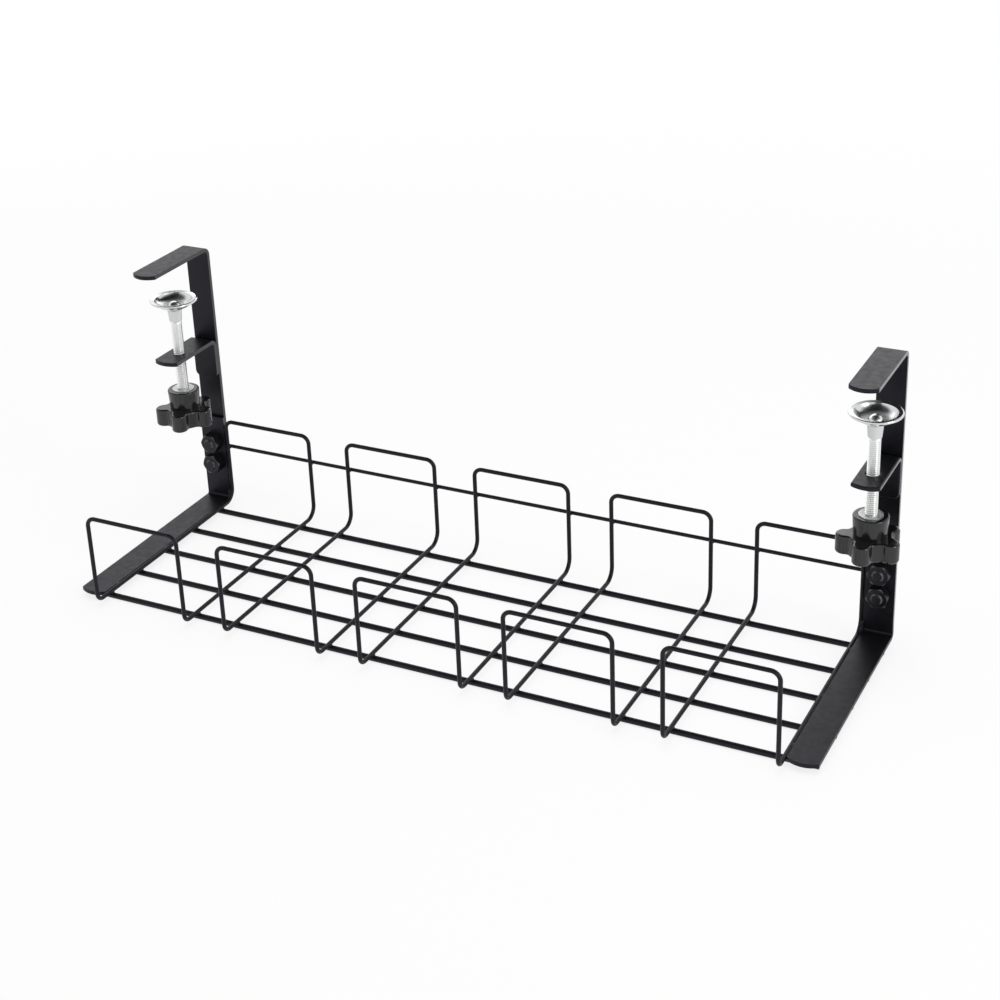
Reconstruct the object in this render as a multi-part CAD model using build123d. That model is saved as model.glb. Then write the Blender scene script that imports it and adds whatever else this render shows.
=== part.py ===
from build123d import *
from math import asin, cos, sin, sqrt
import os

# Under-desk cable tray: bent wire loops welded over five long wires, carried by two flat arms.
# Each arm is bolted to a strip that hooks over the desk's edge, and a hand screw clamps the desk.
# Millimetres. +Z is up, +X is to the right seen from the open front, +Y goes back to the clamps.
# Positions along Y are first counted from the front wires' centreline, then moved to the origin.

# Wire basket
tray_length = 400.0
tray_depth = 125.0
front_height = 48.5
back_height = 48.5
cross_wire = 2.2
long_wire = 3.0
rail_wire = 2.0
loop_count = 5
loop_width = 54.2
loop_top_radius = 4.5
front_bend_radius = 4.0
back_bend_radius = 7.0
long_count = 5
long_end_inset = 1.0
first_long_y = 11.5
last_long_inset = 11.5
rail_height = 32.3
weld_gap = 0.05

# Flat arms
arm_width = 15.0
arm_thickness = 2.0
arm_setback = 5.5
arm_leg_rise = 0.9
arm_bend_radius = 1.2
arm_nose_bulge = 2.4
nose_corner = 1.0

# Clamp strips, a little narrower than the arms
strip_width = 14.0
strip_thickness = 2.1
strip_end_margin = 12.0
jaw_top = 151.2
jaw_reach = 50.0
strip_bend_radius = 2.5
jaw_nose_bulge = 3.0

# Screw tabs
tab_thickness = 2.2
tab_top = 98.0
tab_reach = 39.0
tab_leg = 23.0
tab_bend_radius = 2.0
tab_nose_bulge = 2.0
tab_leg_corner = 3.0

# Bolts and nuts that join arm and strip
bolt_diameter = 6.0
bolt_hole_play = 0.5
bolt_head_diameter = 10.5
bolt_head_height = 3.3
bolt_head_flat = 5.2
bolt_head_rise = 0.7
bolt_socket_flats = 4.0
bolt_socket_depth = 2.0
bolt_end_past_nut = 0.9
bolt_end_ease = 0.7
nut_flats = 10.0
nut_height = 5.0
nut_corner_ease = 0.5
nut_turns = [0, 12]
thread_play = 0.05
upper_bolt_drop = 15.5
bolt_pitch = 12.6

# Clamp screw, swivel pad and star knob
screw_diameter = 6.0
screw_from_strip = 24.5
running_play = 0.05
pad_rest_gap = 19.4
pad_diameter = 25.4
pad_height = 12.6
pad_metal = 1.4
rim_width = 1.8
rim_slope = 0.4
bowl_depth = 3.8
bowl_floor_diameter = 10.0
bowl_rise = 0.8
under_bowl_rise = 0.65
neck_flare_rise = 0.35
pad_neck_top = 7.6
pad_neck_end = 6.7
pad_neck_length = 5.5
pad_journal = 4.6
rivet_diameter = 7.2
rivet_height = 2.0
pad_play = 0.1
hub_rest_gap = 18.8
hub_diameter = 17.2
hub_foot_diameter = 16.0
hub_height = 10.2
hub_edge_round = 0.8
star_diameter = 32.0
star_thickness = 9.8
lobe_count = 5
lobe_radius = 4.4
star_waist = 21.8
star_valley_radius = 2.4
left_star_turn = 216.0
right_star_turn = 51.0
star_edge_round = 1.3
insert_diameter = 11.6
insert_length = 12.0
insert_proud = 0.4
screw_depth_in_knob = 16.0

# Cutters for holes that go right through are this long
through_cut = 20.0

# Places that follow from the sizes above
arm_inner_x = tray_length / 2 - arm_width
end_wire_x = arm_inner_x - weld_gap - cross_wire / 2
loop_pitch = (2 * end_wire_x - loop_width) / (loop_count - 1)
long_z = long_wire / 2
cross_z = long_wire + weld_gap + cross_wire / 2
arm_bottom = long_wire + weld_gap
long_pitch = (tray_depth - first_long_y - last_long_inset) / (long_count - 1)
leg_back_y = tray_depth + cross_wire / 2
leg_front_y = leg_back_y - arm_thickness
strip_front_y = leg_back_y
strip_back_y = strip_front_y + strip_thickness
clamp_x = arm_inner_x + arm_width / 2
screw_y = strip_front_y - screw_from_strip
jaw_face_z = cross_z + jaw_top - strip_thickness
tab_top_z = cross_z + tab_top
tab_face_z = tab_top_z - tab_thickness
pad_top_z = jaw_face_z - pad_rest_gap
hub_top_z = tab_face_z - hub_rest_gap
leg_top_z = cross_z + back_height + cross_wire / 2 + arm_leg_rise
bolt_heights = [leg_top_z - upper_bolt_drop, leg_top_z - upper_bolt_drop - bolt_pitch]
strip_bottom_z = bolt_heights[-1] - strip_end_margin

# The origin is the middle of the outline, on the surface that the long wires stand on
front_y = -cross_wire / 2
back_y = strip_back_y + bolt_head_height
to_origin = Pos(0, -(front_y + back_y) / 2, 0)


def bend(before, corner, after, radius):
    """Arc of the given radius where a square bend in a wire turns, with its two ends."""
    into = (corner - before).normalized()
    out = (after - corner).normalized()
    start = corner - into * radius
    end = corner + out * radius
    centre = start + out * radius
    middle = centre + (corner - centre).normalized() * radius
    return start, middle, end


def closed_wire(corners, radii, diameter):
    """Round wire bent to a closed path through the corners, one bend radius for each corner."""
    count = len(corners)
    bends = [
        bend(corners[i - 1], corners[i], corners[(i + 1) % count], radii[i])
        for i in range(count)
    ]
    edges = []
    for i in range(count):
        start, middle, end = bends[i]
        edges.append(ThreePointArc(start, middle, end))
        edges.append(Line(end, bends[(i + 1) % count][0]))
    path = Wire(edges)
    section = Plane(origin=path @ 0, z_dir=path % 0) * Circle(diameter / 2)
    return sweep(section, path=path)


def cross_loop(left_x):
    """Closed loop of thin wire, bent up at the front and the back."""
    right_x = left_x + loop_width
    front_top = cross_z + front_height
    back_top = cross_z + back_height
    corners = [
        Vector(left_x, 0, front_top),
        Vector(left_x, 0, cross_z),
        Vector(left_x, tray_depth, cross_z),
        Vector(left_x, tray_depth, back_top),
        Vector(right_x, tray_depth, back_top),
        Vector(right_x, tray_depth, cross_z),
        Vector(right_x, 0, cross_z),
        Vector(right_x, 0, front_top),
    ]
    half = [loop_top_radius, front_bend_radius, back_bend_radius, loop_top_radius]
    return closed_wire(corners, half + half[::-1], cross_wire)


def straight_wire(length, diameter, y, z):
    """Straight wire along X, centred on the tray."""
    return Pos(0, y, z) * Rot(0, 90, 0) * Cylinder(diameter / 2, length)


def nose_outline(width, length, bulge, corner):
    """Flat strip seen from above: a square end at Y = 0 and a shallow round nose at Y = -length."""
    half = width / 2
    shoulder = -(length - bulge)
    outline = Wire([
        Line((-half, 0), (-half, shoulder)),
        ThreePointArc((-half, shoulder), (0, -length), (half, shoulder)),
        Line((half, shoulder), (half, 0)),
        Line((half, 0), (-half, 0)),
    ])
    face = make_face(outline)
    tips = face.vertices().sort_by(Axis.Y)[:2]
    return fillet(tips, corner)


def bent_strip(width, thickness, foot, leg, inner_radius):
    """Flat strip with one square bend: the foot runs along -Y on Z = 0, the leg rises behind it."""
    outer_radius = inner_radius + thickness
    side = Wire([
        Line((-foot, 0), (-outer_radius, 0)),
        ThreePointArc(
            (-outer_radius, 0),
            (-outer_radius * (1 - sqrt(0.5)), outer_radius * (1 - sqrt(0.5))),
            (0, outer_radius),
        ),
        Line((0, outer_radius), (0, leg)),
        Line((0, leg), (-thickness, leg)),
        Line((-thickness, leg), (-thickness, outer_radius)),
        ThreePointArc(
            (-thickness, outer_radius),
            (-outer_radius + inner_radius * sqrt(0.5), outer_radius - inner_radius * sqrt(0.5)),
            (-outer_radius, thickness),
        ),
        Line((-outer_radius, thickness), (-foot, thickness)),
        Line((-foot, thickness), (-foot, 0)),
    ])
    profile = Plane.YZ * make_face(side)
    return extrude(profile, width / 2, both=True)


def with_nose(strip, width, reach, bulge, corner, leg):
    """Trims the foot of a bent strip to a round nose."""
    outline = nose_outline(width, reach, bulge, corner)
    return strip & extrude(outline, leg)


def dome_middle(radius, height):
    """Point halfway along the arc of a round dome, from its rim to its top on the axis."""
    sphere = (radius**2 + height**2) / (2 * height)
    angle = asin(radius / sphere) / 2
    return sphere * sin(angle), height - sphere + sphere * cos(angle)


def bolt_holes():
    """Two holes through the arm's leg and the clamp strip."""
    radius = (bolt_diameter + bolt_hole_play) / 2
    holes = [
        Pos(0, leg_back_y, z) * Rot(90, 0, 0) * Cylinder(radius, through_cut)
        for z in bolt_heights
    ]
    return holes[0] + holes[1]


def arm():
    """Flat arm beside the end wire: a foot across the long wires and a leg up the back."""
    reach = leg_back_y - arm_setback
    height = leg_top_z - arm_bottom
    strip = bent_strip(arm_width, arm_thickness, reach, height, arm_bend_radius)
    strip = with_nose(strip, arm_width, reach, arm_nose_bulge, nose_corner, height)
    return Pos(0, leg_back_y, arm_bottom) * strip - bolt_holes()


def clamp_bracket():
    """Tall flat strip behind the arm's leg, bent forward at the top into the upper jaw."""
    reach = jaw_reach + strip_thickness
    height = jaw_face_z + strip_thickness - strip_bottom_z
    strip = bent_strip(strip_width, strip_thickness, reach, height, strip_bend_radius)
    strip = with_nose(strip, strip_width, reach, jaw_nose_bulge, nose_corner, height)
    upside_down = Pos(0, strip_back_y, jaw_face_z + strip_thickness) * mirror(strip, about=Plane.XY)
    return upside_down - bolt_holes()


def tab():
    """Small angle that carries the screw: a tab forward and a short leg down the strip."""
    strip = bent_strip(strip_width, tab_thickness, tab_reach, tab_leg, tab_bend_radius)
    strip = with_nose(strip, strip_width, tab_reach, tab_nose_bulge, nose_corner, tab_leg)
    leg_corners = strip.edges().filter_by(Axis.Y).group_by(Axis.Z)[-1]
    strip = fillet(leg_corners, tab_leg_corner)
    strip = Pos(0, strip_front_y, tab_top_z) * mirror(strip, about=Plane.XY)
    hole = Pos(0, screw_y, tab_face_z) * Cylinder(screw_diameter / 2 + running_play, through_cut)
    return strip - hole


def bolt(z):
    """Round-headed bolt with a hexagon socket, put in from the back."""
    grip = arm_thickness + strip_thickness + nut_height + bolt_end_past_nut
    radius = bolt_diameter / 2
    head_radius = bolt_head_diameter / 2
    flat_radius = bolt_head_flat / 2
    half_profile = Wire([
        Line((0, -grip), (radius - bolt_end_ease, -grip)),
        Line((radius - bolt_end_ease, -grip), (radius, -grip + bolt_end_ease)),
        Line((radius, -grip + bolt_end_ease), (radius, 0)),
        Line((radius, 0), (head_radius, 0)),
        SagittaArc((head_radius, 0), (flat_radius, bolt_head_height), -bolt_head_rise),
        Line((flat_radius, bolt_head_height), (0, bolt_head_height)),
        Line((0, bolt_head_height), (0, -grip)),
    ])
    body = revolve(Plane.XZ * make_face(half_profile), Axis.Z)
    socket = RegularPolygon(bolt_socket_flats / 2, 6, major_radius=False)
    body -= Pos(0, 0, bolt_head_height - bolt_socket_depth) * extrude(socket, bolt_head_height)
    return Pos(0, strip_back_y, z) * Rot(-90, 0, 0) * body


def nut(z, turn):
    """Hexagon nut with eased corners on the front of the arm's leg, turned to an angle."""
    hexagon = extrude(RegularPolygon(nut_flats / 2, 6, major_radius=False), nut_height)
    corner_radius = nut_flats / sqrt(3)
    ease = revolve(
        Plane.XZ * make_face(Wire([
            Line((0, 0), (corner_radius, 0)),
            Line((corner_radius, 0), (corner_radius, nut_height - nut_corner_ease)),
            Line((corner_radius, nut_height - nut_corner_ease), (nut_flats / 2, nut_height)),
            Line((nut_flats / 2, nut_height), (0, nut_height)),
            Line((0, nut_height), (0, 0)),
        ])),
        Axis.Z,
    )
    bore = Cylinder(bolt_diameter / 2 + thread_play, through_cut)
    body = Rot(0, 0, turn) * (hexagon & ease)
    return Pos(0, leg_front_y, z) * Rot(90, 0, 0) * (body - bore)


def pad():
    """Swivel pad that presses on the desk: a bowl with a rolled rim, flaring from a drawn neck."""
    top = pad_height
    bore = pad_journal / 2 + running_play
    roll = pad_metal / 2
    rim = pad_diameter / 2 - roll
    brim = rim - rim_width
    brim_z = top - rim_slope
    floor = top - bowl_depth
    floor_radius = bowl_floor_diameter / 2
    under = floor - pad_metal
    neck_top = pad_neck_top / 2
    neck_end = pad_neck_end / 2
    half_profile = Wire([
        Line((bore, 0), (neck_end, 0)),
        Line((neck_end, 0), (neck_top, pad_neck_length)),
        SagittaArc((neck_top, pad_neck_length), (floor_radius, under), neck_flare_rise),
        SagittaArc((floor_radius, under), (brim, brim_z - pad_metal), -under_bowl_rise),
        Line((brim, brim_z - pad_metal), (rim, top - pad_metal)),
        ThreePointArc((rim, top - pad_metal), (rim + roll, top - roll), (rim, top)),
        Line((rim, top), (brim, brim_z)),
        SagittaArc((brim, brim_z), (floor_radius, floor), bowl_rise),
        Line((floor_radius, floor), (bore, floor)),
        Line((bore, floor), (bore, 0)),
    ])
    body = revolve(Plane.XZ * make_face(half_profile), Axis.Z)
    return Pos(0, screw_y, pad_top_z - pad_height) * body


def screw():
    """Clamp screw: a journal riveted over in the pad, and its lower end held in the knob."""
    pad_bottom = pad_top_z - pad_height
    floor = pad_top_z - bowl_depth
    shoulder = pad_bottom - pad_play
    low = hub_top_z - screw_depth_in_knob
    radius = screw_diameter / 2
    journal = pad_journal / 2
    rivet = rivet_diameter / 2
    rivet_low = floor + pad_play
    dome_x, dome_z = dome_middle(rivet, rivet_height)
    half_profile = Wire([
        Line((0, low), (radius, low)),
        Line((radius, low), (radius, shoulder)),
        Line((radius, shoulder), (journal, shoulder)),
        Line((journal, shoulder), (journal, rivet_low)),
        Line((journal, rivet_low), (rivet, rivet_low)),
        ThreePointArc(
            (rivet, rivet_low),
            (dome_x, rivet_low + dome_z),
            (0, rivet_low + rivet_height),
        ),
        Line((0, rivet_low + rivet_height), (0, low)),
    ])
    return Pos(0, screw_y, 0) * revolve(Plane.XZ * make_face(half_profile), Axis.Z)


def star_outline():
    """Five round lobes about a round waist, with the valleys between them rounded."""
    reach = star_diameter / 2 - lobe_radius
    outline = Circle(star_waist / 2)
    for spot in PolarLocations(reach, lobe_count):
        outline += spot * Circle(lobe_radius)
    return fillet(outline.vertices(), star_valley_radius)


def knob(turn):
    """Moulded star knob with a round hub on top, made over a metal insert, turned to an angle."""
    star = extrude(star_outline(), star_thickness)
    rims = star.faces().filter_by(Axis.Z).edges()
    star = fillet(rims, star_edge_round)
    hub = Pos(0, 0, star_thickness) * Cone(
        hub_foot_diameter / 2, hub_diameter / 2, hub_height,
        align=(Align.CENTER, Align.CENTER, Align.MIN),
    )
    hub = fillet(hub.edges().sort_by(Axis.Z)[-1], hub_edge_round)
    top = star_thickness + hub_height
    body = star + hub
    body -= Pos(0, 0, top - insert_length / 2) * Cylinder(
        insert_diameter / 2 + thread_play, insert_length
    )
    body -= Pos(0, 0, top - screw_depth_in_knob / 2) * Cylinder(
        screw_diameter / 2 + thread_play, screw_depth_in_knob
    )
    return Pos(0, screw_y, hub_top_z - top) * Rot(0, 0, turn) * body


def insert():
    """Metal insert in the knob's hub, a little proud of its top."""
    length = insert_length + insert_proud
    ring = Cylinder(insert_diameter / 2, length) - Cylinder(screw_diameter / 2 + thread_play, length)
    return Pos(0, screw_y, hub_top_z - insert_length + length / 2) * ring


def save(shape, name):
    """Writes one node in the part's own frame."""
    export_step(to_origin * shape, f"parts/{name}.step")


os.makedirs("parts", exist_ok=True)

for i in range(loop_count):
    save(cross_loop(-end_wire_x + i * loop_pitch), f"cross_loop_{i + 1}")

long_length = tray_length - 2 * long_end_inset
for i in range(long_count):
    y = first_long_y + i * long_pitch
    save(straight_wire(long_length, long_wire, y, long_z), f"long_wire_{i + 1}")

rail_y = tray_depth + cross_wire / 2 + weld_gap + rail_wire / 2
rail_length = 2 * (end_wire_x + cross_wire / 2) - 4 * weld_gap
save(straight_wire(rail_length, rail_wire, rail_y, cross_z + rail_height), "back_rail")

for side, x, turn in (("left", -clamp_x, left_star_turn), ("right", clamp_x, right_star_turn)):
    place = Pos(x, 0, 0)
    save(place * arm(), f"{side}_arm")
    save(place * clamp_bracket(), f"{side}_clamp_bracket")
    save(place * tab(), f"{side}_screw_tab")
    for level, z, nut_turn in zip(("upper", "lower"), bolt_heights, nut_turns):
        save(place * bolt(z), f"{side}_{level}_bolt")
        save(place * nut(z, nut_turn), f"{side}_{level}_nut")
    save(place * pad(), f"{side}_swivel_pad")
    save(place * screw(), f"{side}_clamp_screw")
    save(place * insert(), f"{side}_knob_insert")
    save(place * knob(turn), f"{side}_star_knob")
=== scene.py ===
from math import cos, pi, radians, sin, sqrt

import bmesh
import bpy
from mathutils import Matrix, Vector, noise


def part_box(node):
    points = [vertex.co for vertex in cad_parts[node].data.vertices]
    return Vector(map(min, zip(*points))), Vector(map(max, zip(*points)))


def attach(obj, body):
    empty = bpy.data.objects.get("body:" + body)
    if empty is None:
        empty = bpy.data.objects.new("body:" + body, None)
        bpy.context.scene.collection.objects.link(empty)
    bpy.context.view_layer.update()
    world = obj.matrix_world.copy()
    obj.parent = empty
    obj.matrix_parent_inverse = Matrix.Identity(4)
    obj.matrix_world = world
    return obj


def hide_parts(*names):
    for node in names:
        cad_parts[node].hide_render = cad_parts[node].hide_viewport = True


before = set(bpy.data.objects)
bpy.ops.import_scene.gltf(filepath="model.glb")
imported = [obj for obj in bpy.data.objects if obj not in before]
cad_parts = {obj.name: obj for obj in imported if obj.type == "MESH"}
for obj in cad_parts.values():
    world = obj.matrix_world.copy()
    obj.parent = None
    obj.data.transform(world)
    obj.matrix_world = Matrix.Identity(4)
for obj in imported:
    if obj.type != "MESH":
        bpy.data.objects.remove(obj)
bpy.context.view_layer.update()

# Under-desk cable tray: black powder-coated wire basket on two flat arms, with a bright clamp
# screw and a moulded star knob on each side. Everything is in metres.
MM = 0.001
METRE_IN_MM = 1000
SIDES = ("left", "right")
LEVELS = ("upper", "lower")

# Points of a mesh that lie closer than this are one point
SAME_POINT = 0.002 * MM

# Wires, as drawn for the basket
LOOP_COUNT = 5
LONG_COUNT = 5
CROSS_WIRE_RADIUS = 1.1 * MM
LONG_WIRE_RADIUS = 1.5 * MM

# Clamp screw: M6 coarse, riveted over in the pad
SCREW_MAJOR = 6.0 * MM
SCREW_PITCH = 1.0 * MM
SCREW_THREAD_DEPTH = 0.45 * MM
JOURNAL_DIAMETER = 4.6 * MM
RIVET_HEIGHT = 2.0 * MM
RIVET_UNDERSIDE_SHARE = 0.97
RIVET_DOME_STEPS = 10
PAD_PLAY = 0.1 * MM
POINTS_AROUND_SCREW = 40
SCREW_SHARP_ANGLE = radians(50)

# One pitch of the thread from crest to crest: share of the pitch climbed, share of the depth
THREAD_PROFILE = ((0.0, 0.0), (0.17, 0.0), (0.43, 0.94), (0.585, 1.0), (0.74, 0.94))
THREAD_RUN_OUT_TURNS = 1.2

# A nugget of weld metal: lumps across its radius, how uneven it is, the noise's step from one
# nugget to the next, and how finely its ball is divided
NUGGET_LUMPS = 1.3
NUGGET_UNEVENNESS = 0.16
NUGGET_SEED_STEPS = (7.1, 3.7, 1.9)
NUGGET_DETAIL = 2

# How far each kind of nugget reaches from its middle along X, Y and Z
FLOOR_WELD = (1.35 * MM, 1.4 * MM, 0.8 * MM)
RAIL_WELD = (1.5 * MM, 0.85 * MM, 1.5 * MM)
RAIL_END_WELD = (0.9 * MM, 1.3 * MM, 1.5 * MM)
FOOT_WELD = (1.9 * MM, 1.45 * MM, 0.6 * MM)
FOOT_EDGE_WELD = (0.9 * MM, 2.6 * MM, 0.75 * MM)
BEND_WELD = (0.8 * MM, 0.95 * MM, 1.0 * MM)
LEG_EDGE_WELD = (0.9 * MM, 0.75 * MM, 2.4 * MM)

# First number of each run of nuggets, so that no two runs look alike
FLOOR_WELD_SEED = 0
RAIL_WELD_SEED = 60
RAIL_END_WELD_SEED = 80
ARM_WELD_SEED = 100

# Places of the nuggets on the rail's ends and on the arms
RAIL_END_WELD_FORWARD = 0.3 * MM
FOOT_WELDS_IN_FROM_EDGE = (2.2 * MM, 6.8 * MM, 11.2 * MM)
FOOT_WELD_DROP = 0.15 * MM
FOOT_EDGE_WELD_SHARES = (0.10, 0.46, 0.82)
FOOT_EDGE_WELD_RISE = 1.35 * MM
EDGE_WELD_OUT = 0.25 * MM
LEG_EDGE_WELD_SHARES = (0.35, 0.85)
LEG_EDGE_WELD_FROM_BACK = 1.1 * MM

# Bead of weld metal along the end loop's back bend, above the arm's foot
BEND_BEAD_LOW = 1.6 * MM
BEND_BEAD_HIGH = 6.6 * MM
BEND_BEAD_LEAN = 0.22
BEND_BEAD_STEPS = 9
BEND_BEAD_FROM_BACK = 2.0 * MM
BEND_BEAD_OUT = 0.1 * MM
LEG_UPRIGHT_FROM = BEND_BEAD_HIGH + 1.0 * MM

# Eased edges: faces that meet flatter than the first angle are one plain face, and edges sharper
# than the second one are rounded
PLAIN_FACE_ANGLE = radians(0.6)
ROUNDED_EDGE_ANGLE = radians(38)
EVEN_SHADING_WEIGHT = 80
ARM_EDGE = 0.8 * MM
CLAMP_STRIP_EDGE = 0.85 * MM
NUT_EDGE = 0.28 * MM
STRIP_EDGE_STEPS = 4
NUT_EDGE_STEPS = 3

# Sockets of a colour Mix node by number, because its other kinds have the same names
MIX_FIRST = 6
MIX_SECOND = 7
MIX_RESULT = 2

# Most values of a noise texture lie between these
NOISE_LOW = 0.3
NOISE_HIGH = 0.7

# Studio: the air's strength as a light, where gloss sees the walls end and the ceiling begin,
# and how white the paper is near the tray and away from it
AIR_LIGHT = 0.55
WALLS_END = radians(34)
CEILING_BEGINS = radians(56)
CEILING_WHITENESS = 0.06
PAPER_HALF_WIDTH = 6.0
PAPER_NEAR = 0.35
PAPER_AWAY = 1.1
PAPER_WHITENESS_NEAR = 0.82

# Camera of the photograph, fitted to the tray's own edges, with its place measured from the
# middle of the tray, the front wires and the floor
PHOTO_SIDE_PX = 1000
FOCAL_PX = 1899.5
PICTURE_CENTRE_PX = (511.9, 379.8)
CAMERA_TO_THE_RIGHT = 397.2 * MM
CAMERA_BEFORE_FRONT_WIRES = 666.3 * MM
CAMERA_HEIGHT = 496.5 * MM
CAMERA_AZIMUTH = radians(26.83)
CAMERA_LOOKS_DOWN = radians(23.68)
CAMERA_ROLL = radians(2.01)
SENSOR_MM = 36.0


# Meshes

def new_piece(name, bm, body, material, sharp):
    """Turns a finished bmesh into a named piece that rides on a body of the tray."""
    bmesh.ops.recalc_face_normals(bm, faces=bm.faces)
    mesh = bpy.data.meshes.new(name)
    bm.to_mesh(mesh)
    bm.free()
    mesh.materials.append(material)
    mesh.shade_smooth()
    mesh.set_sharp_from_angle(angle=sharp)
    piece = bpy.data.objects.new(name, mesh)
    bpy.context.scene.collection.objects.link(piece)
    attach(piece, body)
    return piece


def ring(bm, centre, radius, height, around):
    """Level ring of points."""
    return [
        bm.verts.new((
            centre.x + radius * cos(2 * pi * i / around),
            centre.y + radius * sin(2 * pi * i / around),
            height,
        ))
        for i in range(around)
    ]


def thread_rings(bm, centre, major, depth, pitch, low, high, around):
    """Rings that climb a right-hand screw thread: flat crest, straight flanks and rounded root."""
    run_out = THREAD_RUN_OUT_TURNS * pitch
    turns = int((high - low) / pitch) + 2
    rings = []
    for turn in range(-1, turns):
        for part, deep in THREAD_PROFILE:
            verts = []
            for i in range(around):
                angle = 2 * pi * i / around
                height = low + pitch * (turn + part + i / around)
                height = min(max(height, low), high)
                fade = min(1.0, (height - low) / run_out, (high - height) / run_out)
                radius = major / 2 - depth * deep * fade
                verts.append(bm.verts.new((
                    centre.x + radius * cos(angle),
                    centre.y + radius * sin(angle),
                    height,
                )))
            rings.append(verts)
    return rings


def climb(bm, rings):
    """Skin over helical rings: the last point of a ring meets the first of the ring a pitch above."""
    around = len(rings[0])
    for k in range(len(rings) - 1):
        for i in range(around):
            if i + 1 < around:
                corners = (rings[k][i], rings[k][i + 1], rings[k + 1][i + 1], rings[k + 1][i])
            else:
                up = k + len(THREAD_PROFILE)
                if up + 1 >= len(rings):
                    continue
                corners = (rings[k][i], rings[up][0], rings[up + 1][0], rings[k + 1][i])
            bm.faces.new(corners)


def clamp_screw(side, plated):
    """M6 screw: rolled thread from the knob to the pad, a plain journal and a domed rivet."""
    low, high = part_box(f"{side}_clamp_screw")
    pad_low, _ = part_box(f"{side}_swivel_pad")
    centre = (low + high) / 2
    around = POINTS_AROUND_SCREW
    shoulder = pad_low.z - PAD_PLAY
    bm = bmesh.new()
    thread = thread_rings(
        bm, centre, SCREW_MAJOR, SCREW_THREAD_DEPTH, SCREW_PITCH, low.z, shoulder, around,
    )
    climb(bm, thread)
    bmesh.ops.remove_doubles(bm, verts=bm.verts, dist=SAME_POINT)

    rivet_radius = (high.x - low.x) / 2
    rivet_low = high.z - RIVET_HEIGHT
    sphere = (rivet_radius**2 + RIVET_HEIGHT**2) / (2 * RIVET_HEIGHT)
    outline = [(SCREW_MAJOR / 2, shoulder), (JOURNAL_DIAMETER / 2, shoulder)]
    outline += [(JOURNAL_DIAMETER / 2, rivet_low), (rivet_radius * RIVET_UNDERSIDE_SHARE, rivet_low)]
    for k in range(RIVET_DOME_STEPS):
        radius = rivet_radius * cos(k / RIVET_DOME_STEPS * pi / 2)
        outline.append((radius, rivet_low + sqrt(sphere**2 - radius**2) - (sphere - RIVET_HEIGHT)))
    rings = [ring(bm, centre, radius, height, around) for radius, height in outline]
    for below, above in zip(rings, rings[1:]):
        for i in range(around):
            j = (i + 1) % around
            bm.faces.new((below[i], below[j], above[j], above[i]))
    top = bm.verts.new((centre.x, centre.y, high.z))
    for i in range(around):
        bm.faces.new((rings[-1][i], rings[-1][(i + 1) % around], top))
    bmesh.ops.remove_doubles(bm, verts=bm.verts, dist=SAME_POINT)
    open_ends = [e for e in bm.edges if e.is_boundary]
    if open_ends:
        bmesh.ops.holes_fill(bm, edges=open_ends, sides=0)
    piece = new_piece(
        f"{side}_threaded_screw", bm, f"{side}_screw", plated, SCREW_SHARP_ANGLE,
    )
    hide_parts(f"{side}_clamp_screw")


def nugget(bm, place, size, seed):
    """Small uneven lump of weld metal, squashed to a size along each axis."""
    offset = Vector([seed * step for step in NUGGET_SEED_STEPS])
    made = bmesh.ops.create_icosphere(bm, subdivisions=NUGGET_DETAIL, radius=1.0)
    for vert in made["verts"]:
        shift = noise.noise(vert.co * NUGGET_LUMPS + offset)
        scale = 1 + NUGGET_UNEVENNESS * shift
        vert.co = Vector((
            place[0] + vert.co.x * size[0] * scale,
            place[1] + vert.co.y * size[1] * scale,
            place[2] + vert.co.z * size[2] * scale,
        ))


def upright_places():
    """X of each cross wire: two for each loop."""
    places = []
    for i in range(LOOP_COUNT):
        low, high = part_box(f"cross_loop_{i + 1}")
        places += [low.x + CROSS_WIRE_RADIUS, high.x - CROSS_WIRE_RADIUS]
    return places


def floor_welds(coat):
    """Resistance welds where each cross wire lies on each long wire."""
    bm = bmesh.new()
    height = 2 * LONG_WIRE_RADIUS
    seed = FLOOR_WELD_SEED
    for n in range(LONG_COUNT):
        low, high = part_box(f"long_wire_{n + 1}")
        y = (low.y + high.y) / 2
        for x in upright_places():
            nugget(bm, (x, y, height), FLOOR_WELD, seed)
            seed += 1
    new_piece("floor_welds", bm, "tray_frame", coat, pi)


def rail_welds(coat):
    """Resistance welds where the back rail crosses the loops' uprights, and at its two ends."""
    bm = bmesh.new()
    low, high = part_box("back_rail")
    z = (low.z + high.z) / 2
    for step, x in enumerate(upright_places()):
        nugget(bm, (x, low.y, z), RAIL_WELD, RAIL_WELD_SEED + step)
    end_y = (low.y + high.y) / 2 - RAIL_END_WELD_FORWARD
    for step, x in enumerate((low.x, high.x)):
        nugget(bm, (x, end_y, z), RAIL_END_WELD, RAIL_END_WELD_SEED + step)
    new_piece("rail_welds", bm, "tray_frame", coat, pi)


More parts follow.
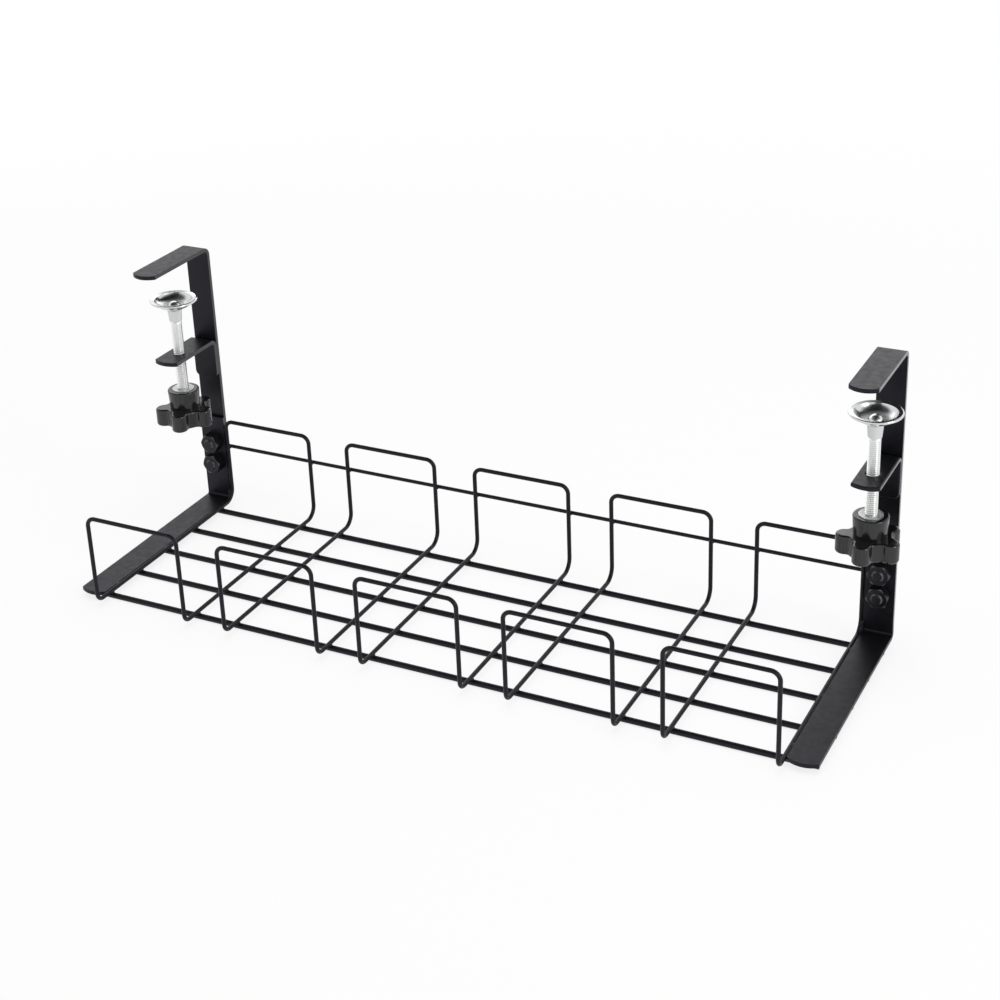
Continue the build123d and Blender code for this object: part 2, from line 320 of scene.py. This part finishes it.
def arm_welds(coat):
    """Welds under each arm's foot at the long wires, and beads between the end loops and the arms."""
    bm = bmesh.new()
    seed = ARM_WELD_SEED
    for side, sign in (("left", -1), ("right", 1)):
        low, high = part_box(f"{side}_arm")
        inner = sign * min(abs(low.x), abs(high.x))
        foot = low.z
        for n in range(LONG_COUNT):
            wire_low, wire_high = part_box(f"long_wire_{n + 1}")
            y = (wire_low.y + wire_high.y) / 2
            for along in FOOT_WELDS_IN_FROM_EDGE:
                nugget(bm, (inner + sign * along, y, foot - FOOT_WELD_DROP), FOOT_WELD, seed)
                seed += 1
        edge = inner - sign * EDGE_WELD_OUT
        for share in FOOT_EDGE_WELD_SHARES:
            y = low.y + (high.y - low.y) * share
            nugget(bm, (edge, y, foot + FOOT_EDGE_WELD_RISE), FOOT_EDGE_WELD, seed)
            seed += 1
        for step in range(BEND_BEAD_STEPS):
            rise = BEND_BEAD_LOW + (BEND_BEAD_HIGH - BEND_BEAD_LOW) * step / (BEND_BEAD_STEPS - 1)
            y = high.y - BEND_BEAD_FROM_BACK - (LEG_UPRIGHT_FROM - rise) * BEND_BEAD_LEAN
            nugget(bm, (inner - sign * BEND_BEAD_OUT, y, foot + rise), BEND_WELD, seed)
            seed += 1
        for share in LEG_EDGE_WELD_SHARES:
            z = low.z + (high.z - low.z) * share
            nugget(bm, (edge, high.y - LEG_EDGE_WELD_FROM_BACK, z), LEG_EDGE_WELD, seed)
            seed += 1
    new_piece("arm_welds", bm, "tray_frame", coat, pi)


def ease_edges(node, width, steps):
    """Rounds the sheared edges of a CAD node a little, as tumbling and coating leave them."""
    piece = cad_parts[node]
    weld = piece.modifiers.new("join_points", "WELD")
    weld.merge_threshold = SAME_POINT
    flat = piece.modifiers.new("plain_faces", "DECIMATE")
    flat.decimate_type = "DISSOLVE"
    flat.angle_limit = PLAIN_FACE_ANGLE
    bevel = piece.modifiers.new("eased_edges", "BEVEL")
    bevel.width = width
    bevel.segments = steps
    bevel.limit_method = "ANGLE"
    bevel.angle_limit = ROUNDED_EDGE_ANGLE
    bevel.harden_normals = False
    normals = piece.modifiers.new("even_shading", "WEIGHTED_NORMAL")
    normals.keep_sharp = True
    normals.weight = EVEN_SHADING_WEIGHT


# Materials

def linear(hex_colour):
    """sRGB hex colour as the linear red, green, blue and alpha that a shader takes."""
    channels = [int(hex_colour[i:i + 2], 16) / 255 for i in (1, 3, 5)]
    return tuple(c / 12.92 if c <= 0.04045 else ((c + 0.055) / 1.055) ** 2.4 for c in channels) + (1.0,)


def add(tree, kind, settings=None, inputs=None):
    """Adds a node: its own settings by name, and for each input a value or the socket that feeds it."""
    made = tree.nodes.new(kind)
    for name, value in (settings or {}).items():
        setattr(made, name, value)
    for name, value in (inputs or {}).items():
        if isinstance(value, bpy.types.NodeSocket):
            tree.links.new(value, made.inputs[name])
        else:
            made.inputs[name].default_value = value
    return made


def new_material(name):
    """Empty material, with its tree and the place of its surface output."""
    material = bpy.data.materials.new(name)
    material.use_nodes = True
    material.node_tree.nodes.clear()
    output = add(material.node_tree, "ShaderNodeOutputMaterial")
    return material, material.node_tree, output


def black_powder_coat(name, on_strip):
    """Polyester powder coat, sprayed on steel wire and strip and baked.

    Gives the eye a satin black with a faint orange peel: wide soft highlights, a grey sheen at low
    angles, and a fine grain that breaks up every reflection. On the strips' sheared edges, which
    face along X, the powder flows out smooth in the middle, which shows as a bright line at low
    angles. Near the floor the edge of an arm's foot stays as dull as the rest.
    """
    material, tree, output = new_material(name)
    grain_mm = 0.7      # real grain is about 0.15 mm, too fine to show
    peel_mm = 3.0
    cloud_mm = 28.0
    place = add(tree, "ShaderNodeTexCoord").outputs["Object"]
    cloud = add(tree, "ShaderNodeTexNoise", {}, {
        "Vector": place, "Scale": METRE_IN_MM / cloud_mm, "Detail": 3.0,
    })
    peel = add(tree, "ShaderNodeTexNoise", {}, {
        "Vector": place, "Scale": METRE_IN_MM / peel_mm, "Detail": 2.0,
    })
    grain = add(tree, "ShaderNodeTexNoise", {}, {
        "Vector": place, "Scale": METRE_IN_MM / grain_mm, "Detail": 2.0,
    })
    colour = add(tree, "ShaderNodeMix", {"data_type": "RGBA"}, {
        "Factor": cloud.outputs["Fac"], MIX_FIRST: linear("#08080b"), MIX_SECOND: linear("#101114"),
    })
    rough = add(tree, "ShaderNodeMapRange", {}, {
        "Value": peel.outputs["Fac"], "From Min": NOISE_LOW, "From Max": NOISE_HIGH,
        "To Min": 0.36, "To Max": 0.46,
    })
    bump_peel = add(tree, "ShaderNodeBump", {}, {
        "Height": peel.outputs["Fac"], "Strength": 0.25, "Distance": 0.05 * MM,
    })
    bump_grain = add(tree, "ShaderNodeBump", {}, {
        "Height": grain.outputs["Fac"], "Strength": 0.35, "Distance": 0.03 * MM,
        "Normal": bump_peel.outputs["Normal"],
    })
    shader = add(tree, "ShaderNodeBsdfPrincipled", {}, {
        "Base Color": colour.outputs[MIX_RESULT], "Roughness": rough.outputs["Result"], "IOR": 1.5,
        "Specular IOR Level": 0.3, "Specular Tint": linear("#e9e6fb"),
        "Normal": bump_grain.outputs["Normal"],
    })
    if on_strip:
        # Cosine of the angle between the face and the X axis, and height over the floor
        rounded_part, sheared_part = 0.9, 0.98
        foot_part, leg_part = 5 * MM, 14 * MM
        facing = add(tree, "ShaderNodeNewGeometry").outputs["Normal"]
        split = add(tree, "ShaderNodeSeparateXYZ", {}, {"Vector": facing})
        sideways = add(tree, "ShaderNodeMath", {"operation": "ABSOLUTE"}, {0: split.outputs["X"]})
        flowed = add(tree, "ShaderNodeMapRange", {"interpolation_type": "SMOOTHSTEP"}, {
            "Value": sideways.outputs[0], "From Min": rounded_part, "From Max": sheared_part,
        })
        height = add(tree, "ShaderNodeSeparateXYZ", {}, {"Vector": place}).outputs["Z"]
        above_foot = add(tree, "ShaderNodeMapRange", {"interpolation_type": "SMOOTHSTEP"}, {
            "Value": height, "From Min": foot_part, "From Max": leg_part,
        })
        bright_line = add(tree, "ShaderNodeMath", {"operation": "MULTIPLY"}, {
            0: flowed.outputs["Result"], 1: above_foot.outputs["Result"],
        })
        tree.links.new(bright_line.outputs[0], shader.inputs["Coat Weight"])
        shader.inputs["Coat Roughness"].default_value = 0.08
        shader.inputs["Coat IOR"].default_value = 1.32
    tree.links.new(shader.outputs["BSDF"], output.inputs["Surface"])
    return material


def around_axis(tree, place, x, y):
    """Distance from the clamp screw's axis on either side of the tray."""
    split = add(tree, "ShaderNodeSeparateXYZ", {}, {"Vector": place})
    across = add(tree, "ShaderNodeMath", {"operation": "ABSOLUTE"}, {0: split.outputs["X"]})
    dx = add(tree, "ShaderNodeMath", {"operation": "SUBTRACT"}, {0: across.outputs[0], 1: x})
    dy = add(tree, "ShaderNodeMath", {"operation": "SUBTRACT"}, {0: split.outputs["Y"], 1: y})
    flat = add(tree, "ShaderNodeCombineXYZ", {}, {"X": dx.outputs[0], "Y": dy.outputs[0]})
    reach = add(tree, "ShaderNodeVectorMath", {"operation": "LENGTH"}, {0: flat.outputs["Vector"]})
    return reach.outputs["Value"], split.outputs["Z"]


def bright_zinc_pad():
    """Pressed steel cup and turned insert, bright zinc-plated and tumbled.

    Gives the eye a bright silver with sharp dark and light reflections and faint turned rings.
    Near the axis, where the tumbling stones don't reach, the plate stays dull and hazy.
    """
    material, tree, output = new_material("bright_zinc_pad")
    low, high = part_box("right_swivel_pad")
    ring_mm = 0.35
    haze_mm = 4.0
    unreached, polished = 4.5 * MM, 8.5 * MM
    unreached_haze = 0.32
    place = add(tree, "ShaderNodeTexCoord").outputs["Object"]
    reach, height = around_axis(tree, place, (low.x + high.x) / 2, (low.y + high.y) / 2)
    groove_place = add(tree, "ShaderNodeCombineXYZ", {}, {"X": reach, "Z": height})
    groove = add(tree, "ShaderNodeTexNoise", {}, {
        "Vector": groove_place.outputs["Vector"], "Scale": METRE_IN_MM / ring_mm, "Detail": 1.0,
    })
    haze = add(tree, "ShaderNodeTexNoise", {}, {
        "Vector": place, "Scale": METRE_IN_MM / haze_mm, "Detail": 3.0,
    })
    rough = add(tree, "ShaderNodeMapRange", {}, {
        "Value": haze.outputs["Fac"], "From Min": NOISE_LOW, "From Max": NOISE_HIGH,
        "To Min": 0.17, "To Max": 0.27,
    })
    dull = add(tree, "ShaderNodeMapRange", {"interpolation_type": "SMOOTHSTEP"}, {
        "Value": reach, "From Min": unreached, "From Max": polished,
        "To Min": unreached_haze, "To Max": 0.0,
    })
    rough_all = add(tree, "ShaderNodeMath", {}, {0: rough.outputs["Result"], 1: dull.outputs["Result"]})
    bump = add(tree, "ShaderNodeBump", {}, {
        "Height": groove.outputs["Fac"], "Strength": 0.12, "Distance": 0.02 * MM,
    })
    shader = add(tree, "ShaderNodeBsdfPrincipled", {}, {
        "Base Color": linear("#d9dbdb"), "Metallic": 1.0, "Roughness": rough_all.outputs[0],
        "Normal": bump.outputs["Normal"],
    })
    tree.links.new(shader.outputs["BSDF"], output.inputs["Surface"])
    return material


def bright_zinc_screw():
    """Rolled steel screw, bright zinc-plated.

    Gives the eye a light silver that is a little duller than the pad, with faint streaks along it.
    """
    material, tree, output = new_material("bright_zinc_screw")
    streak_mm = 0.8
    drawn_out = 0.06
    place = add(tree, "ShaderNodeTexCoord").outputs["Object"]
    long_place = add(tree, "ShaderNodeMapping", {}, {"Vector": place, "Scale": (1.0, 1.0, drawn_out)})
    streak = add(tree, "ShaderNodeTexNoise", {}, {
        "Vector": long_place.outputs["Vector"], "Scale": METRE_IN_MM / streak_mm, "Detail": 2.0,
    })
    rough = add(tree, "ShaderNodeMapRange", {}, {
        "Value": streak.outputs["Fac"], "From Min": NOISE_LOW, "From Max": NOISE_HIGH,
        "To Min": 0.22, "To Max": 0.36,
    })
    colour = add(tree, "ShaderNodeMix", {"data_type": "RGBA"}, {
        "Factor": streak.outputs["Fac"], MIX_FIRST: linear("#eaeceb"), MIX_SECOND: linear("#fafbfa"),
    })
    shader = add(tree, "ShaderNodeBsdfPrincipled", {}, {
        "Base Color": colour.outputs[MIX_RESULT], "Metallic": 1.0, "Roughness": rough.outputs["Result"],
    })
    tree.links.new(shader.outputs["BSDF"], output.inputs["Surface"])
    return material


def black_moulded_nylon():
    """Glass-filled nylon, injection-moulded in a spark-eroded tool.

    Gives the eye a black that is a little greyer than the coat, with soft broad highlights and a
    fine even texture.
    """
    material, tree, output = new_material("black_moulded_nylon")
    texture_mm = 0.5
    flow_mm = 9.0
    place = add(tree, "ShaderNodeTexCoord").outputs["Object"]
    texture = add(tree, "ShaderNodeTexNoise", {}, {
        "Vector": place, "Scale": METRE_IN_MM / texture_mm, "Detail": 2.0,
    })
    flow = add(tree, "ShaderNodeTexNoise", {}, {
        "Vector": place, "Scale": METRE_IN_MM / flow_mm, "Detail": 2.0,
    })
    colour = add(tree, "ShaderNodeMix", {"data_type": "RGBA"}, {
        "Factor": flow.outputs["Fac"], MIX_FIRST: linear("#0b0b0d"), MIX_SECOND: linear("#131316"),
    })
    rough = add(tree, "ShaderNodeMapRange", {}, {
        "Value": flow.outputs["Fac"], "From Min": NOISE_LOW, "From Max": NOISE_HIGH,
        "To Min": 0.13, "To Max": 0.20,
    })
    bump = add(tree, "ShaderNodeBump", {}, {
        "Height": texture.outputs["Fac"], "Strength": 0.15, "Distance": 0.02 * MM,
    })
    shader = add(tree, "ShaderNodeBsdfPrincipled", {}, {
        "Base Color": colour.outputs[MIX_RESULT], "Roughness": rough.outputs["Result"], "IOR": 1.56,
        "Normal": bump.outputs["Normal"],
    })
    tree.links.new(shader.outputs["BSDF"], output.inputs["Surface"])
    return material


def black_oxide_steel():
    """Steel bolts and nuts, blackened in a hot salt bath and oiled.

    Gives the eye a dark metal with small crisp highlights. The chamfers, which slope between the
    ends and the flats, get a lighter colour: a painted highlight where their rims catch the light.
    """
    material, tree, output = new_material("black_oxide_steel")
    patch_mm = 2.5
    # Share of a face's normal that points along the bolt
    flat, chamfer_starts = 0.2, 0.5
    chamfer_ends, end_face = 0.88, 0.99
    place = add(tree, "ShaderNodeTexCoord").outputs["Object"]
    patch = add(tree, "ShaderNodeTexNoise", {}, {
        "Vector": place, "Scale": METRE_IN_MM / patch_mm, "Detail": 3.0,
    })
    colour = add(tree, "ShaderNodeMix", {"data_type": "RGBA"}, {
        "Factor": patch.outputs["Fac"], MIX_FIRST: linear("#141416"), MIX_SECOND: linear("#2b2c2f"),
    })
    rough = add(tree, "ShaderNodeMapRange", {}, {
        "Value": patch.outputs["Fac"], "From Min": NOISE_LOW, "From Max": NOISE_HIGH,
        "To Min": 0.20, "To Max": 0.32,
    })
    facing = add(tree, "ShaderNodeNewGeometry").outputs["Normal"]
    split = add(tree, "ShaderNodeSeparateXYZ", {}, {"Vector": facing})
    along = add(tree, "ShaderNodeMath", {"operation": "ABSOLUTE"}, {0: split.outputs["Y"]})
    off_flats = add(tree, "ShaderNodeMapRange", {"interpolation_type": "SMOOTHSTEP"}, {
        "Value": along.outputs[0], "From Min": flat, "From Max": chamfer_starts,
    })
    off_ends = add(tree, "ShaderNodeMapRange", {"interpolation_type": "SMOOTHSTEP"}, {
        "Value": along.outputs[0], "From Min": end_face, "From Max": chamfer_ends,
    })
    chamfer = add(tree, "ShaderNodeMath", {"operation": "MULTIPLY"}, {
        0: off_flats.outputs["Result"], 1: off_ends.outputs["Result"],
    })
    # Painted highlight: the chamfers, found by the way their faces point, get a lighter colour that
    # stands in for the light their rims catch
    painted_chamfer_highlight = add(tree, "ShaderNodeMix", {"data_type": "RGBA"}, {
        "Factor": chamfer.outputs[0], MIX_FIRST: colour.outputs[MIX_RESULT],
        MIX_SECOND: linear("#4c4d51"),
    })
    shader = add(tree, "ShaderNodeBsdfPrincipled", {}, {
        "Base Color": painted_chamfer_highlight.outputs[MIX_RESULT], "Metallic": 0.6, "Roughness": rough.outputs["Result"],
    })
    tree.links.new(shader.outputs["BSDF"], output.inputs["Surface"])
    return material


# Studio

def seen_directly(tree):
    """1 for rays from the camera, gloss and glass, and 0 for the rays that light the tray."""
    path = add(tree, "ShaderNodeLightPath").outputs
    first = add(tree, "ShaderNodeMath", {"operation": "MAXIMUM"}, {
        0: path["Is Camera Ray"], 1: path["Is Glossy Ray"],
    })
    both = add(tree, "ShaderNodeMath", {"operation": "MAXIMUM"}, {
        0: first.outputs[0], 1: path["Is Transmission Ray"],
    })
    return both.outputs[0]


def studio_air():
    """White surround, at half strength as a light, with a dark ceiling that only gloss shows."""
    world = bpy.data.worlds.new("studio_air")
    bpy.context.scene.world = world
    world.use_nodes = True
    tree = world.node_tree
    tree.nodes.clear()
    light = add(tree, "ShaderNodeBackground", {}, {"Color": linear("#ffffff"), "Strength": AIR_LIGHT})
    direction = add(tree, "ShaderNodeTexCoord").outputs["Generated"]
    split = add(tree, "ShaderNodeSeparateXYZ", {}, {"Vector": direction})
    walls_to_ceiling = add(tree, "ShaderNodeMapRange", {"interpolation_type": "SMOOTHSTEP"}, {
        "Value": split.outputs["Z"], "From Min": sin(WALLS_END), "From Max": sin(CEILING_BEGINS),
        "To Min": 1.0, "To Max": CEILING_WHITENESS,
    })
    camera_ray = add(tree, "ShaderNodeLightPath").outputs["Is Camera Ray"]
    brightness = add(tree, "ShaderNodeMath", {"operation": "MAXIMUM"}, {
        0: walls_to_ceiling.outputs["Result"], 1: camera_ray,
    })
    white = add(tree, "ShaderNodeBackground", {}, {
        "Color": linear("#ffffff"), "Strength": brightness.outputs[0],
    })
    mix = add(tree, "ShaderNodeMixShader", {}, {
        0: seen_directly(tree), 1: light.outputs[0], 2: white.outputs[0],
    })
    output = add(tree, "ShaderNodeOutputWorld")
    tree.links.new(mix.outputs[0], output.inputs["Surface"])


def studio_floor():
    """White paper under the tray: it shows as white, keeps a soft shadow, and is clear from below."""
    material, tree, output = new_material("white_paper")
    paper = add(tree, "ShaderNodeBsdfDiffuse", {}, {"Color": linear("#f0f0f0")})
    glow = add(tree, "ShaderNodeEmission", {}, {"Color": linear("#ffffff"), "Strength": 1.0})
    place = add(tree, "ShaderNodeTexCoord").outputs["Object"]
    away = add(tree, "ShaderNodeVectorMath", {"operation": "LENGTH"}, {0: place}).outputs["Value"]
    whiteness = add(tree, "ShaderNodeMapRange", {"interpolation_type": "SMOOTHSTEP"}, {
        "Value": away, "From Min": PAPER_NEAR, "From Max": PAPER_AWAY,
        "To Min": PAPER_WHITENESS_NEAR, "To Max": 1.0,
    })
    part = add(tree, "ShaderNodeMath", {"operation": "MULTIPLY"}, {
        0: seen_directly(tree), 1: whiteness.outputs["Result"],
    })
    lit = add(tree, "ShaderNodeMixShader", {}, {
        0: part.outputs[0], 1: paper.outputs[0], 2: glow.outputs[0],
    })
    from_below = add(tree, "ShaderNodeNewGeometry").outputs["Backfacing"]
    clear = add(tree, "ShaderNodeBsdfTransparent")
    mix = add(tree, "ShaderNodeMixShader", {}, {0: from_below, 1: lit.outputs[0], 2: clear.outputs[0]})
    tree.links.new(mix.outputs[0], output.inputs["Surface"])
    half = PAPER_HALF_WIDTH
    bm = bmesh.new()
    corners = ((-half, -half), (half, -half), (half, half), (-half, half))
    bm.faces.new([bm.verts.new((x, y, 0)) for x, y in corners])
    mesh = bpy.data.meshes.new("studio_floor")
    bm.to_mesh(mesh)
    bm.free()
    mesh.materials.append(material)
    floor = bpy.data.objects.new("studio_floor", mesh)
    bpy.context.scene.collection.objects.link(floor)


def softbox(name, place, aim, width, height, watts, mirrored=True):
    """Rectangular soft light that faces a point, and shows in gloss unless told not to."""
    light = bpy.data.lights.new(name, "AREA")
    light.shape = "RECTANGLE"
    light.size = width
    light.size_y = height
    light.energy = watts
    lamp = bpy.data.objects.new(name, light)
    lamp.location = place
    lamp.visible_glossy = mirrored
    lamp.rotation_mode = "QUATERNION"
    lamp.rotation_quaternion = (Vector(aim) - Vector(place)).to_track_quat("-Z", "Y")
    bpy.context.scene.collection.objects.link(lamp)


def photo_camera():
    """Camera at the photograph's place, turned and framed as it was."""
    forward = Vector((
        -sin(CAMERA_AZIMUTH) * cos(CAMERA_LOOKS_DOWN),
        cos(CAMERA_AZIMUTH) * cos(CAMERA_LOOKS_DOWN),
        -sin(CAMERA_LOOKS_DOWN),
    ))
    level = Vector((cos(CAMERA_AZIMUTH), sin(CAMERA_AZIMUTH), 0))
    right = Matrix.Rotation(CAMERA_ROLL, 3, forward) @ level
    up = right.cross(forward)
    camera = bpy.data.cameras.new("photo_camera")
    camera.sensor_width = SENSOR_MM
    camera.lens = FOCAL_PX / PHOTO_SIDE_PX * SENSOR_MM
    camera.shift_x = 0.5 - PICTURE_CENTRE_PX[0] / PHOTO_SIDE_PX
    camera.shift_y = PICTURE_CENTRE_PX[1] / PHOTO_SIDE_PX - 0.5
    camera.clip_start = 0.01
    camera.clip_end = 50
    stand = bpy.data.objects.new("photo_camera", camera)
    front_wires_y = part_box("cross_loop_1")[0].y + CROSS_WIRE_RADIUS
    place = Vector((CAMERA_TO_THE_RIGHT, front_wires_y - CAMERA_BEFORE_FRONT_WIRES, CAMERA_HEIGHT))
    turn = Matrix((right, up, -forward)).transposed().to_4x4()
    stand.matrix_world = Matrix.Translation(place) @ turn
    bpy.context.scene.collection.objects.link(stand)
    bpy.context.scene.camera = stand


bpy.context.scene.view_settings.view_transform = "Standard"
studio_air()
studio_floor()
softbox(
    "overhead_softbox", place=(0.1, 0.0, 1.4), aim=(0, 0, 0.05), width=1.2, height=1.2, watts=9,
    mirrored=False,
)
softbox(
    "back_softbox", place=(-0.2, 1.35, 0.56), aim=(0.15, 0, 0.12), width=0.6, height=0.35, watts=0.9,
)
softbox(
    "back_wall_softbox", place=(-0.95, 1.35, 1.0), aim=(-0.1, 0, 0.05), width=1.5, height=0.4,
    watts=2.8,
)
softbox("right_softbox", place=(1.3, -0.2, 0.7), aim=(0, 0, 0.08), width=0.5, height=0.8, watts=5)
photo_camera()

wire_coat = black_powder_coat("black_powder_coat_on_wire", on_strip=False)
strip_coat = black_powder_coat("black_powder_coat_on_strip", on_strip=True)
pad_plate = bright_zinc_pad()
screw_plate = bright_zinc_screw()
nylon = black_moulded_nylon()
oxide = black_oxide_steel()

finish_of = {}
for i in range(LOOP_COUNT):
    finish_of[f"cross_loop_{i + 1}"] = wire_coat
for i in range(LONG_COUNT):
    finish_of[f"long_wire_{i + 1}"] = wire_coat
finish_of["back_rail"] = wire_coat
for side in SIDES:
    finish_of[f"{side}_arm"] = strip_coat
    finish_of[f"{side}_clamp_bracket"] = strip_coat
    finish_of[f"{side}_screw_tab"] = strip_coat
    finish_of[f"{side}_swivel_pad"] = pad_plate
    finish_of[f"{side}_knob_insert"] = pad_plate
    finish_of[f"{side}_clamp_screw"] = screw_plate
    finish_of[f"{side}_star_knob"] = nylon
    for level in LEVELS:
        finish_of[f"{side}_{level}_bolt"] = oxide
        finish_of[f"{side}_{level}_nut"] = oxide
for node, material in finish_of.items():
    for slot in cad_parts[node].material_slots:
        slot.material = material

for side in SIDES:
    ease_edges(f"{side}_arm", ARM_EDGE, STRIP_EDGE_STEPS)
    ease_edges(f"{side}_clamp_bracket", CLAMP_STRIP_EDGE, STRIP_EDGE_STEPS)
    ease_edges(f"{side}_screw_tab", CLAMP_STRIP_EDGE, STRIP_EDGE_STEPS)
    for level in LEVELS:
        ease_edges(f"{side}_{level}_nut", NUT_EDGE, NUT_EDGE_STEPS)
    clamp_screw(side, screw_plate)

floor_welds(wire_coat)
rail_welds(wire_coat)
arm_welds(wire_coat)
